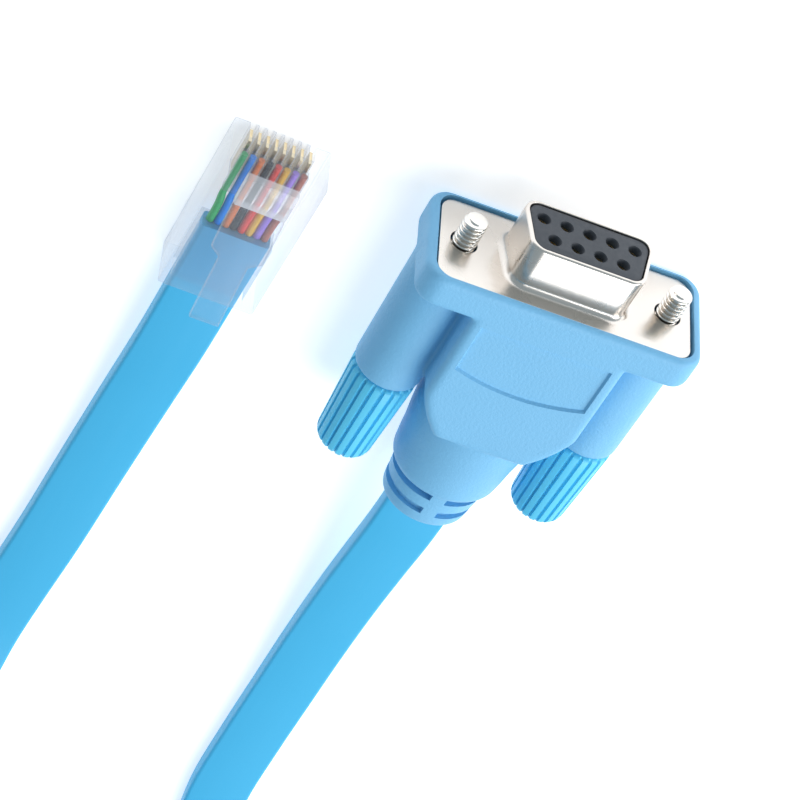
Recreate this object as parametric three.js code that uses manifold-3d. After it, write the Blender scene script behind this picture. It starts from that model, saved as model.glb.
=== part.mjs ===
// A flat console cable: a nine-way D connector in a moulded hood, a clear eight-way plug, and the
// cable between them, its spare length folded into a tied hank. Millimetres, +Z up, resting on z = 0.
import * as THREE from 'three';
import { mergeVertices } from 'three/addons/utils/BufferGeometryUtils.js';
import Module from 'manifold-3d';

const wasm = await Module();
wasm.setup();

// Clearances
const fitGap = 0.3;             // between pieces that touch on the real cable
const contactGap = 0.15;        // beside a blade in its slot

// Screws and contacts, which set the connector's width
const screwSpacing = 24.99;
const contactPitch = 2.77;
const rowSpacing = 2.84;
const rowCounts = [5, 4];       // the row on the wide side, then the row on the narrow side

// Metal face plate and D-shaped shroud. Y points out of the mating face, 0 is the plate's front.
const plateEnd = 2.905;         // past each screw's axis
const plateHeight = 12.5;
const plateThickness = 0.8;
const plateCorner = 1.8;
const shellEnd = 2.61;          // past the long row's last axis, on the wide side
const shellHeight = 7.9;
const shellSlope = THREE.MathUtils.degToRad(10);
const shellCorner = 1.9;
const shellProjection = 6.0;
const shellWall = 0.45;
const shellFlare = 0.8;
const shellLip = 0.35;

// Insulator and its nine socket contacts
const insulatorInset = 0.1;
const insulatorBack = 5.2;
const mouthRadius = 0.72;
const mouthDepth = 0.8;
const socketRadius = 0.75;
const socketBore = 0.52;
const socketBoreDepth = 7.5;
const socketTail = 1.2;

// Thumbscrews
const threadRadius = 1.42;
const threadLength = 6.8;
const threadChamfer = 0.5;
const screwProjection = 3.7;
const shankRadius = 1.1;
const shankGrip = 6.0;
const screwHoleRadius = 1.65;
const screwHousingRadius = 4.3;
const screwHousingBack = 21.5;
const knobRadius = 4.05;
const knobEndShare = 0.86;
const knobLength = 13.2;
const knobRibs = 20;
const knobGroove = 0.38;
const knobEndRound = 0.5;

// Hood
const rimWidth = 1.05;
const rimProud = 0.35;
const flangeHeight = 14.6;
const flangeBack = 4.1;
const flangeCorner = 2.6;
const flangeRound = 0.7;
const bodySetIn = 3.095;        // from each screw's axis in to the body's flank
const bodyShoulder = 17.0;
const bodyRound = 0.8;
const creaseBack = 23.3;
const creaseHalfWidth = 5.6;
const labelMargin = 1.4;
const labelFront = 4.6;
const labelBack = 11.8;
const labelBow = 1.4;
const labelDepth = 0.35;

// Strain relief: half-widths at distances behind the plate, and its height as a share of its width
const reliefEnd = 40.0;
const reliefHeightShare = 0.88;
const reliefRootRadius = 7.9;
const reliefWaistRadius = 7.1;
const reliefWaistBack = 30.0;
const reliefBodyRadius = 6.75;
const reliefBodyBack = 33.4;
const reliefRingRadius = 6.05;
const reliefEndRadius = 5.5;
const slotWidth = 1.15;
const slotDepth = 1.2;
const slotBacks = [34.6, 37.4];
const slotBridge = 1.8;
const slotPieces = 24;

// Flat cable
const cableWidth = 8.2;
const cableThickness = 2.5;
const cableCorner = 0.75;
const cablePocket = 4.8;
const stepsPerPoint = 2;

// Hank of the spare length: the cable stands on edge in it, and its runs lie along Y
const hankX = -23.4;
const hankStart = -148.75;      // middle of the round end on the connector's side
const hankRun = 60;
const hankInner = 23.4;
const hankOuter = 36.4;
const hankEndPieces = 20;
const tieThickness = 0.8;
const tieWidth = 4.0;
const tieCorner = 1.2;
const tieHeadLength = 4.6;
const tieHeadHeight = 2.4;
const tiePlaces = [[1, -21], [-1, -54]];      // side of the hank, and how far along it

// Clear plug: its own X across, Y towards the nose, Z towards the latch side, 0 at the nose's base
const plugX = -34.4;
const plugY = 16.7;
const plugHeading = THREE.MathUtils.degToRad(-1.5);
const plugWidth = 11.68;
const plugHeight = 6.6;
const plugLength = 21.46;
const plugRound = 0.3;
const cableEntryHeight = 3.3;
const jacketBack = 13.0;
const channelHeight = 1.5;
const channelFront = 1.6;
const wireRadius = 0.42;
const wireFront = 1.9;
const bladePitch = 1.02;
const bladeCount = 8;
const bladeThickness = 0.36;
const bladeHeight = 2.1;
const bladeLength = 5.4;
const bladeRecess = 0.6;
const latchWidth = 6.2;
const latchTangWidth = 3.5;
const latchThickness = 1.0;
const latchFront = 1.2;
const latchRoot = 5.4;
const latchShoulder = 11.5;
const latchEnd = 21.0;
const latchRise = THREE.MathUtils.degToRad(12);
const latchLift = 0.3;

// Where the cable runs. Both stretches are lists of points on its centre line, set by hand.
const connectorRoute = [
  [0, -18.5, 7.3], [0, -23, 7.3], [0, -30, 6.9], [0.1, -38, 5.6], [0.3, -48, 4.0], [0.6, -60, 2.6],
  [0.9, -72, 1.7], [1, -84, 1.4], [1.3, -96, 1.38], [3.0, -108, 1.5], [4.6, -115.5, 2.2],
  [5.9, -121.2, 2.9],
];
const plugRoute = [
  [-42.4, -196, 5.2], [-42.2, -184, 5.6], [-41.5, -172, 6.6], [-40.8, -160, 8.2],
  [-40.2, -148, 9.8], [-39.8, -138, 10.7], [-39.6, -128, 11.0], [-39.4, -118, 10.9],
  [-39.2, -110, 9.9], [-38.9, -101, 7.6], [-38.6, -93, 5.2], [-38.3, -85, 3.2], [-38, -77, 1.9],
  [-37.4, -68, 1.45], [-36.6, -56, 1.38], [-36, -42, 1.4],
  [-35.5, -28, 2.0], [-35.15, -16, 2.9], [-34.96, -4.75, 3.3], [-34.73, 3.9, 3.3],
];

// Colours and finishes
const moulding = { color: 0x6fc0f0, roughness: 0.55 };
const knobMoulding = { color: 0x5db4ea, roughness: 0.5 };
const jacket = { color: 0x56b8ee, roughness: 0.45 };
const nickel = { color: 0xd9d5ce, roughness: 0.28, metalness: 1 };
const steel = { color: 0xd4d0c8, roughness: 0.3, metalness: 1 };
const slate = { color: 0x4a4e55, roughness: 0.6 };
const gold = { color: 0xd9ad4a, roughness: 0.3, metalness: 1 };
const clear = { color: 0xe9eef2, roughness: 0.08, transparent: true, opacity: 0.35 };
const tieNylon = { color: 0x1d1f22, roughness: 0.5 };
const wireColours = [0x2f9e44, 0x2c6fd6, 0xd8742c, 0x16171a, 0xd5332a, 0xf2a531, 0x7d4bc4, 0x7a4a2a];

const group = new THREE.Group();
const connector = new THREE.Group();
const plug = new THREE.Group();
group.add(connector, plug);
connector.position.set(0, (reliefEnd - shellProjection) / 2, flangeHeight / 2);
plug.position.set(plugX, plugY, 0);
plug.rotation.z = plugHeading;

function addPiece(parent, name, geometry, finish) {
  const mesh = new THREE.Mesh(geometry, new THREE.MeshStandardMaterial(finish));
  mesh.name = name;
  parent.add(mesh);
  return mesh;
}

// Solids for cutting and joining
function toSolid(geometry) {
  const bare = geometry.clone();
  bare.deleteAttribute('normal');
  bare.deleteAttribute('uv');
  const merged = mergeVertices(bare, 1e-4);
  return new wasm.Manifold(new wasm.Mesh({
    numProp: 3,
    vertProperties: Float32Array.from(merged.attributes.position.array),
    triVerts: Uint32Array.from(merged.index.array),
  }));
}

function toGeometry(solid) {
  const mesh = solid.getMesh();
  const geometry = new THREE.BufferGeometry();
  geometry.setAttribute('position', new THREE.BufferAttribute(mesh.vertProperties, 3));
  geometry.setIndex(new THREE.BufferAttribute(mesh.triVerts, 1));
  return geometry;
}

function join(geometries) {
  return geometries.map(toSolid).reduce((whole, piece) => whole.add(piece));
}

// A closed outline with every corner rounded; the corners go anticlockwise round a convex shape
function roundedOutline(corners, radius) {
  const shape = new THREE.Shape();
  corners.forEach((corner, index) => {
    const before = corners[(index + corners.length - 1) % corners.length].clone().sub(corner).normalize();
    const after = corners[(index + 1) % corners.length].clone().sub(corner).normalize();
    const half = Math.acos(before.dot(after)) / 2;
    const start = corner.clone().addScaledVector(before, radius / Math.tan(half));
    const end = corner.clone().addScaledVector(after, radius / Math.tan(half));
    const middle = before.clone().add(after).normalize();
    const centre = corner.clone().addScaledVector(middle, radius / Math.sin(half));
    shape.absarc(centre.x, centre.y, radius, start.sub(centre).angle(), end.sub(centre).angle(), false);
  });
  shape.closePath();
  return shape;
}

function rectangleCorners(width, height) {
  const halves = [[-1, -1], [1, -1], [1, 1], [-1, 1]];
  return halves.map(([x, y]) => new THREE.Vector2(x * width / 2, y * height / 2));
}

// The D outline, grown by a margin all round; its wide side is at the bottom
function shellOutline(margin) {
  const halfHeight = shellHeight / 2 + margin;
  const sideMargin = margin / Math.cos(shellSlope);
  const wide = shellWidth / 2 + sideMargin + margin * Math.tan(shellSlope);
  const narrow = wide - 2 * halfHeight * Math.tan(shellSlope);
  const corners = [[-wide, -halfHeight], [wide, -halfHeight], [narrow, halfHeight], [-narrow, halfHeight]];
  return roundedOutline(corners.map(([x, y]) => new THREE.Vector2(x, y)), shellCorner + margin);
}

// An outline in X and Z, pushed along Y from front back to back
function prismAlongY(shape, front, back, round = 0, curveSegments = 5) {
  const geometry = new THREE.ExtrudeGeometry(shape, {
    depth: front - back - 2 * round, curveSegments,
    bevelEnabled: round > 0, bevelThickness: round, bevelSize: round, bevelOffset: -round, bevelSegments: 2,
  });
  return geometry.rotateX(Math.PI / 2).translate(0, front - round, 0);
}

// An outline in X and Y, pushed up in Z between two heights
function prismAlongZ(shape, low, high, round = 0, curveSegments = 8) {
  const geometry = new THREE.ExtrudeGeometry(shape, {
    depth: high - low - 2 * round, curveSegments,
    bevelEnabled: round > 0, bevelThickness: round, bevelSize: round, bevelOffset: -round, bevelSegments: 2,
  });
  return geometry.translate(0, 0, low + round);
}

function cylinderAlongY(radius, front, back, x = 0, z = 0, sides = 24) {
  const geometry = new THREE.CylinderGeometry(radius, radius, front - back, sides);
  return geometry.translate(x, (front + back) / 2, z);
}

function block(width, front, back, low, high, x = 0) {
  const geometry = new THREE.BoxGeometry(width, front - back, high - low);
  return geometry.translate(x, (front + back) / 2, (low + high) / 2);
}

// A turned piece about the Y axis, from [radius, y] points that climb on the outside
function turned(points, sides) {
  return new THREE.LatheGeometry(points.map(([radius, y]) => new THREE.Vector2(radius, y)), sides);
}

const sides = [['left', -1], ['right', 1]];
const screwX = screwSpacing / 2;
const plateWidth = screwSpacing + 2 * plateEnd;
const shellWidth = (rowCounts[0] - 1) * contactPitch + 2 * shellEnd;
const bodyHalfWidth = screwX - bodySetIn;
const labelHalfWidth = bodyHalfWidth - labelMargin;
const screwChannelRadius = threadRadius + fitGap;
const knobFront = -screwHousingBack - fitGap;
const knobBack = knobFront - knobLength;
const shankBack = knobFront - shankGrip;
const holeSpan = 30;            // long enough for a cutter to pass through anything here

function socketPlaces() {
  return rowCounts.flatMap((count, row) => Array.from({ length: count }, (_, index) => [
    (index - (count - 1) / 2) * contactPitch, (row - 0.5) * rowSpacing,
  ]));
}

// Metal shell
function shellGeometry() {
  const plate = toSolid(prismAlongY(roundedOutline(rectangleCorners(plateWidth, plateHeight), plateCorner),
    0, -plateThickness));
  const shroudBack = -plateThickness - shellLip;
  const flareBack = -plateThickness - shellFlare;
  const shroud = toSolid(prismAlongY(shellOutline(0), shellProjection, shroudBack, shellLip));
  const flare = toSolid(prismAlongY(shellOutline(shellFlare), shellFlare, flareBack, shellFlare));
  const behind = toSolid(block(plateWidth, -plateThickness, -holeSpan, -plateHeight, plateHeight));
  const opening = toSolid(prismAlongY(shellOutline(-shellWall), holeSpan, -holeSpan));
  let solid = plate.add(shroud).add(flare).subtract(behind).subtract(opening);
  for (const [, side] of sides) {
    solid = solid.subtract(toSolid(cylinderAlongY(screwHoleRadius, holeSpan, -holeSpan, side * screwX)));
  }
  return toGeometry(solid);
}

function insulatorGeometry() {
  const front = shellProjection - insulatorInset;
  let solid = toSolid(prismAlongY(shellOutline(-shellWall - fitGap), front, -insulatorBack));
  for (const [x, z] of socketPlaces()) {
    const cavity = cylinderAlongY(socketRadius + contactGap, front - mouthDepth, -holeSpan, x, z, 12);
    const mouth = cylinderAlongY(mouthRadius, holeSpan, front - 2 * mouthDepth, x, z, 12);
    solid = solid.subtract(toSolid(cavity)).subtract(toSolid(mouth));
  }
  return toGeometry(solid);
}

function socketGeometry() {
  const front = shellProjection - insulatorInset - mouthDepth - contactGap;
  const bottom = front - socketBoreDepth;
  const back = -insulatorBack - socketTail;
  return turned([[0, back], [socketRadius, back], [socketRadius, front], [socketBore, front],
    [socketBore, bottom], [0, bottom]], 12);
}

// Thumbscrews
function shankGeometry() {
  const tip = screwProjection;
  const threadBack = tip - threadLength;
  return turned([[0, shankBack], [shankRadius, shankBack], [shankRadius, threadBack - threadChamfer],
    [threadRadius, threadBack], [threadRadius, tip - threadChamfer], [threadRadius - threadChamfer, tip],
    [0, tip]], 16);
}

function knobOutline() {
  const step = 2 * Math.PI / knobRibs;
  const points = [];
  for (let rib = 0; rib < knobRibs; rib += 1) {
    const ribPoints = [[0, knobGroove], [0.3, knobGroove], [0.45, 0], [0.85, 0]];
    for (const [turn, depth] of ribPoints) {
      const angle = (rib + turn) * step;
      const radius = knobRadius - depth;
      points.push(new THREE.Vector2(radius * Math.cos(angle), radius * Math.sin(angle)));
    }
  }
  return new THREE.Shape(points);
}

// Straight ribs, tapered towards the end and rounded off by a turned envelope
function knobGeometry() {
  const ribbed = prismAlongY(knobOutline(), knobFront, knobBack);
  const places = ribbed.attributes.position;
  for (let index = 0; index < places.count; index += 1) {
    const share = (knobFront - places.getY(index)) / knobLength;
    const scale = 1 - share * (1 - knobEndShare);
    places.setX(index, places.getX(index) * scale);
    places.setZ(index, places.getZ(index) * scale);
  }
  const endRadius = knobRadius * knobEndShare;
  const envelope = turned([[0, knobBack], [endRadius - knobEndRound, knobBack],
    [endRadius + 0.1, knobBack + knobEndRound], [knobRadius + 0.1, knobFront - knobEndRound],
    [knobRadius - knobEndRound, knobFront], [0, knobFront]], 30);
  const pocket = cylinderAlongY(shankRadius + fitGap, holeSpan, shankBack - fitGap, 0, 0, 16);
  return toGeometry(toSolid(ribbed).intersect(toSolid(envelope)).subtract(toSolid(pocket)));
}

// Hood
function bodyOutline() {
  const shape = new THREE.Shape();
  shape.moveTo(-bodyHalfWidth, -rimWidth);
  shape.lineTo(-bodyHalfWidth, -bodyShoulder);
  shape.quadraticCurveTo(-bodyHalfWidth + 1, -creaseBack + 3, -creaseHalfWidth, -creaseBack);
  shape.lineTo(creaseHalfWidth, -creaseBack);
  shape.quadraticCurveTo(bodyHalfWidth - 1, -creaseBack + 3, bodyHalfWidth, -bodyShoulder);
  shape.lineTo(bodyHalfWidth, -rimWidth);
  shape.closePath();
  return shape;
}

function labelOutline() {
  const shape = new THREE.Shape();
  shape.moveTo(-labelHalfWidth, -labelFront);
  shape.lineTo(-labelHalfWidth, -labelBack);
  shape.quadraticCurveTo(0, -labelBack - 2 * labelBow, labelHalfWidth, -labelBack);
  shape.lineTo(labelHalfWidth, -labelFront);
  shape.closePath();
  return shape;
}

function reliefGeometry() {
  const profile = [
    [0, -reliefEnd], [reliefEndRadius - 0.8, -reliefEnd], [reliefEndRadius, -reliefEnd + 0.8],
    [reliefRingRadius, -reliefBodyBack - 0.4], [reliefBodyRadius - 0.5, -reliefBodyBack - 0.4],
    [reliefBodyRadius, -reliefBodyBack + 0.3], [reliefWaistRadius, -reliefWaistBack],
    [reliefRootRadius, -creaseBack], [reliefRootRadius, -bodyShoulder], [0, -bodyShoulder],
  ];
  return turned(profile, 32).scale(1, 1, reliefHeightShare);
}

// A groove round the relief that stops at a bridge on its top and on its underside
function slotCutter(back) {
  const low = -back - slotWidth / 2;
  const high = -back + slotWidth / 2;
  const floorRadius = reliefRingRadius - slotDepth;
  const ring = turned([[floorRadius, low], [reliefRootRadius, low], [reliefRootRadius, high],
    [floorRadius, high], [floorRadius, low]], slotPieces).scale(1, 1, reliefHeightShare);
  const bridge = block(slotBridge, high + 1, low - 1, -flangeHeight, flangeHeight);
  return toSolid(ring).subtract(toSolid(bridge));
}

function hoodGeometry() {
  const flangeShape = roundedOutline(
    rectangleCorners(plateWidth + 2 * (fitGap + rimWidth), flangeHeight), flangeCorner);
  const halfHeight = flangeHeight / 2;
  const mouldings = [
    prismAlongY(flangeShape, rimProud, -flangeBack, flangeRound),
    prismAlongZ(bodyOutline(), -halfHeight, halfHeight, bodyRound, 6),
    reliefGeometry(),
  ];
  for (const [, side] of sides) {
    mouldings.push(cylinderAlongY(screwHousingRadius, -rimWidth, -screwHousingBack, side * screwX));
  }
  const insert = roundedOutline(rectangleCorners(plateWidth + 2 * fitGap, plateHeight + 2 * fitGap),
    plateCorner + fitGap);
  const cavityBack = -insulatorBack - socketTail - fitGap;
  const cuts = [
    toSolid(prismAlongY(insert, holeSpan, -plateThickness - fitGap)),
    toSolid(block(shellWidth + fitGap, 0, cavityBack, -shellHeight / 2, shellHeight / 2)),
    toSolid(prismAlongZ(labelOutline(), halfHeight - labelDepth, halfHeight + 1)),
    toSolid(block(cableWidth + 2 * fitGap, -reliefEnd + cablePocket, -holeSpan - reliefEnd,
      -cableThickness / 2 - fitGap, cableThickness / 2 + fitGap)),
    ...slotBacks.map(slotCutter),
  ];
  for (const [, side] of sides) {
    cuts.push(toSolid(cylinderAlongY(screwChannelRadius, holeSpan, -holeSpan, side * screwX, 0, 16)));
  }
  return toGeometry(cuts.reduce((whole, cut) => whole.subtract(cut), join(mouldings)));
}

function buildConnector() {
  addPiece(connector, 'connector_hood', hoodGeometry(), moulding);
  addPiece(connector, 'connector_shell', shellGeometry(), nickel);
  addPiece(connector, 'socket_insulator', insulatorGeometry(), slate);
  socketPlaces().forEach(([x, z], index) => {
    addPiece(connector, `socket_contact_${index + 1}`, socketGeometry(), gold).position.set(x, 0, z);
  });
  for (const [name, side] of sides) {
    addPiece(connector, `thumbscrew_knob_${name}`, knobGeometry(), knobMoulding).position.x = side * screwX;
    addPiece(connector, `thumbscrew_shank_${name}`, shankGeometry(), steel).position.x = side * screwX;
  }
}

// Cable
function cableStretch(route) {
  const path = new THREE.CatmullRomCurve3(route.map((point) => new THREE.Vector3(...point)));
  const steps = route.length * stepsPerPoint;
  const firstNormal = path.computeFrenetFrames(steps, false).normals[0];
  const normalIsUp = Math.abs(firstNormal.z) > Math.SQRT1_2;
  const halfX = (normalIsUp ? cableThickness : cableWidth) / 2;
  const halfY = (normalIsUp ? cableWidth : cableThickness) / 2;
  const section = new THREE.Shape([
    [-halfX + cableCorner, -halfY], [halfX - cableCorner, -halfY], [halfX, -halfY + cableCorner],
    [halfX, halfY - cableCorner], [halfX - cableCorner, halfY], [-halfX + cableCorner, halfY],
    [-halfX, halfY - cableCorner], [-halfX, -halfY + cableCorner],
  ].map(([x, y]) => new THREE.Vector2(x, y)));
  return new THREE.ExtrudeGeometry(section, { steps, extrudePath: path });
}

const hankLow = tieThickness + fitGap;
const hankHigh = hankLow + cableWidth;

// A straight run with a round end at each end of it, from its starting end's middle down -Y
function runOutline(path, radius) {
  path.absarc(0, 0, radius, 0, Math.PI, false);
  path.absarc(0, -hankRun, radius, Math.PI, 2 * Math.PI, false);
  path.closePath();
  return path;
}

function hankGeometry() {
  const outline = runOutline(new THREE.Shape(), hankOuter);
  outline.holes.push(runOutline(new THREE.Path(), hankInner));
  return prismAlongZ(outline, hankLow, hankHigh, 0, hankEndPieces);
}

// A band round one side of the hank, in X (outwards) and Y (up), with its head on top
function tieGeometry() {
  const innerWidth = hankOuter - hankInner + 2 * fitGap;
  const innerHeight = hankHigh - hankLow + 2 * fitGap;
  const outer = rectangleCorners(innerWidth + 2 * tieThickness, innerHeight + 2 * tieThickness);
  const band = roundedOutline(outer, tieCorner);
  band.holes.push(new THREE.Path(rectangleCorners(innerWidth, innerHeight).reverse()));
  const loop = new THREE.ExtrudeGeometry(band, { depth: tieWidth, bevelEnabled: false, curveSegments: 3 });
  loop.translate(0, 0, -tieWidth / 2);
  const top = innerHeight / 2 + tieThickness / 2;
  const head = new THREE.BoxGeometry(tieHeadLength, tieHeadHeight, tieWidth + 2 * tieThickness);
  head.translate(0, top + tieHeadHeight / 2, 0);
  return toGeometry(join([loop, head])).rotateX(Math.PI / 2);
}

function buildCable() {
  addPiece(group, 'cable_connector_end', cableStretch(connectorRoute), jacket);
  addPiece(group, 'cable_plug_end', cableStretch(plugRoute), jacket);
  addPiece(group, 'cable_hank', hankGeometry(), jacket).position.set(hankX, hankStart, 0);
  tiePlaces.forEach(([side, along], index) => {
    const tie = addPiece(group, `hank_tie_${index + 1}`, tieGeometry(), tieNylon);
    const outwards = side * (hankInner + hankOuter) / 2;
    tie.position.set(hankX + outwards, hankStart + along, (hankLow + hankHigh) / 2);
  });
}

// Plug
function bladePlaces() {
  return Array.from({ length: bladeCount }, (_, index) => (index - (bladeCount - 1) / 2) * bladePitch);
}

function housingGeometry() {
  const side = new THREE.Shape([[-plugLength, 0], [0, 0], [0, plugHeight], [-plugLength, plugHeight]]
    .map(([y, z]) => new THREE.Vector2(y, z)));
  const slab = new THREE.ExtrudeGeometry(side, {
    depth: plugWidth - 2 * plugRound, curveSegments: 2, bevelEnabled: true,
    bevelThickness: plugRound, bevelSize: plugRound, bevelOffset: -plugRound, bevelSegments: 1,
  });
  slab.translate(0, 0, plugRound - plugWidth / 2);
  slab.applyMatrix4(new THREE.Matrix4().makeBasis(
    new THREE.Vector3(0, 1, 0), new THREE.Vector3(0, 0, 1), new THREE.Vector3(1, 0, 0)));
  const rootTop = plugHeight + latchLift + latchThickness;
  const root = block(latchWidth, -latchFront, -latchRoot, plugHeight - 1, rootTop);
  const halfPocket = cableThickness / 2 + fitGap;
  const channelWidth = bladeCount * bladePitch + fitGap;
  const cuts = [
    block(cableWidth + 2 * fitGap, -jacketBack + fitGap, -holeSpan,
      cableEntryHeight - halfPocket, cableEntryHeight + halfPocket),
    block(channelWidth, -channelFront, -jacketBack - 1,
      cableEntryHeight - channelHeight / 2, cableEntryHeight + channelHeight / 2),
    ...bladePlaces().map((x) => block(bladeThickness + 2 * contactGap, holeSpan,
      -bladeRecess - bladeLength - contactGap, -1, bladeHeight + bladeRecess, x)),
  ];
  const whole = join([slab, root]);
  return toGeometry(cuts.reduce((solid, cut) => solid.subtract(toSolid(cut)), whole));
}

// The lever lies along -Y from its pivot at the origin and rises towards its free end
function latchGeometry() {
  const reach = latchEnd - latchRoot;
  const shoulder = latchShoulder - latchRoot;
  const halfWidth = latchWidth / 2;
  const halfTang = latchTangWidth / 2;
  const outline = new THREE.Shape([
    [-halfWidth, -fitGap], [-halfWidth, -shoulder], [-halfTang, -shoulder - 1], [-halfTang, -reach],
    [halfTang, -reach], [halfTang, -shoulder - 1], [halfWidth, -shoulder], [halfWidth, -fitGap],
  ].map(([x, y]) => new THREE.Vector2(x, y)));
  return prismAlongZ(outline, -latchThickness / 2, latchThickness / 2);
}

function buildPlug() {
  addPiece(plug, 'plug_housing', housingGeometry(), clear);
  const latch = addPiece(plug, 'plug_latch', latchGeometry(), clear);
  latch.position.set(0, -latchRoot, plugHeight + latchLift + latchThickness / 2);
  latch.rotation.x = -latchRise;
  const bladeBack = -bladeRecess - bladeLength;
  const bladeTop = bladeRecess + bladeHeight - contactGap;
  const wireBack = -jacketBack + fitGap;
  bladePlaces().forEach((x, index) => {
    const blade = block(bladeThickness, -bladeRecess, bladeBack, bladeRecess, bladeTop, x);
    addPiece(plug, `plug_contact_${index + 1}`, blade, gold);
    const wire = cylinderAlongY(wireRadius, -wireFront, wireBack, x, cableEntryHeight, 8);
    addPiece(plug, `plug_wire_${index + 1}`, wire, { color: wireColours[index], roughness: 0.5 });
  });
}

buildConnector();
buildCable();
buildPlug();

export default group;
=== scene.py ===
"""The looks of a flat console cable, over the CAD frame that it is loaded on."""

import math

import bmesh
import bpy
from bpy.props import FloatProperty, FloatVectorProperty, IntProperty, PointerProperty
from mathutils import Matrix, Vector


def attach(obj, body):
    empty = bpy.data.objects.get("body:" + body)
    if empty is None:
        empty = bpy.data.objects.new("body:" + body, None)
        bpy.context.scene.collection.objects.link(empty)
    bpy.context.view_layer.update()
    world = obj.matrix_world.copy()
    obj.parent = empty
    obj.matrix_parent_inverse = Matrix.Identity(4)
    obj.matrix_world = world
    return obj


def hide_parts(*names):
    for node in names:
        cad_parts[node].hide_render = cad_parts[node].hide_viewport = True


bl_info = {
    "name": "Console Cable",
    "version": (1, 0, 0),
    "blender": (4, 5, 0),
    "location": "View3D > Sidebar > Console Cable",
    "description": "Flat console cable with a nine-way D socket and a clear modular plug",
    "category": "Object",
}

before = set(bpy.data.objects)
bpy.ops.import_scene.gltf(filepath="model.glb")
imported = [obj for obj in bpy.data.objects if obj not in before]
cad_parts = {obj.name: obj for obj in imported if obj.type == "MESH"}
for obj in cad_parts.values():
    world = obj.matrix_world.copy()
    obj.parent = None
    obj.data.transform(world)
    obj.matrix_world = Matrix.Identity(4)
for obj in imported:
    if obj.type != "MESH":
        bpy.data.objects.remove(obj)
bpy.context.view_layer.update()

# Meshes are worked in millimetres, in each connector's own place, and then put into the frame in metres.
TO_METRES = Matrix.Scale(0.001, 4)
CONNECTOR = Matrix.Translation((0, 0.017, 0.0073)) @ TO_METRES
PLUG = Matrix.Translation((-0.0344, 0.0167, 0)) @ Matrix.Rotation(math.radians(-1.5), 4, "Z") @ TO_METRES
LATCH = PLUG @ Matrix.Translation((0, -5.4, 7.4)) @ Matrix.Rotation(math.radians(-12), 4, "X")

# Millimetres, in each connector's own place
SCREW_X = 12.495
CONTACT_PITCH = 2.77
CONTACT_ROWS = ((5, -1.42), (4, 1.42))
KNOB_FRONT = -21.8
KNOB_LENGTH = 13.2
KNOB_TAPER = 0.14
SHANK_FRONT = 3.7
SHANK_BACK = -27.8
THREAD_BACK = -3.2
PLUG_LENGTH = 21.46
WIRE_PITCH = 1.02
WIRE_HEIGHT = 3.3
BLADE_TOP = 2.55

# The cable's route from the connector to the hank, and from the hank to the plug. These are the CAD source's
# points down to y -108 and from y -148 on. Nearer the hank, each bends to the turn that it joins.
CONNECTOR_ROUTE = [
    (0, -18.5, 7.3), (0, -23, 7.3), (0, -30, 6.9), (0.1, -38, 5.6), (0.3, -48, 4.0), (0.6, -60, 2.6),
    (0.9, -72, 1.7), (1, -84, 1.4), (1.3, -96, 1.38), (3.0, -108, 1.5), (4.9, -116, 2.3), (6.8, -124, 3.5),
    (8.4, -131, 4.6), (9.6, -136, 5.0), (10.7, -140.8, 5.2),
]
PLUG_ROUTE = [
    (-48.0, -200, 5.2), (-46.4, -190, 5.4), (-44.0, -180, 5.9), (-42.1, -170, 6.9), (-41.0, -160, 8.2),
    (-40.2, -148, 9.8), (-39.8, -138, 10.7), (-39.6, -128, 11.0), (-39.4, -118, 10.9), (-39.2, -110, 9.9),
    (-38.9, -101, 7.6), (-38.6, -93, 5.2), (-38.3, -85, 3.2), (-38, -77, 1.9), (-37.4, -68, 1.45),
    (-36.6, -56, 1.38), (-36, -42, 1.4), (-35.5, -28, 2.0), (-35.15, -16, 2.9), (-34.96, -4.75, 3.3),
    (-34.73, 3.9, 3.3),
]
# The hank: 3.5 turns on edge, each inside the one before, on straight runs between two round ends
HANK_X = -23.4
HANK_START = -148.75
HANK_RUN = 60
HANK_RADIUS = 35
HANK_PITCH = 2.9
HANK_HALF_TURNS = 7
HANK_HEIGHT = 5.2


# Finishes

class Signal:
    """What a node gives. An expression on it adds Math nodes."""

    def __init__(self, finish, socket):
        self.finish = finish
        self.socket = socket

    def math(self, operation, other):
        return self.finish.node("ShaderNodeMath", {"operation": operation}, {0: self, 1: other})

    def __add__(self, other):
        return self.math("ADD", other)

    def __mul__(self, other):
        return self.math("MULTIPLY", other)

    def __pow__(self, other):
        return self.math("POWER", other)

    __radd__ = __add__
    __rmul__ = __mul__


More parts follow.
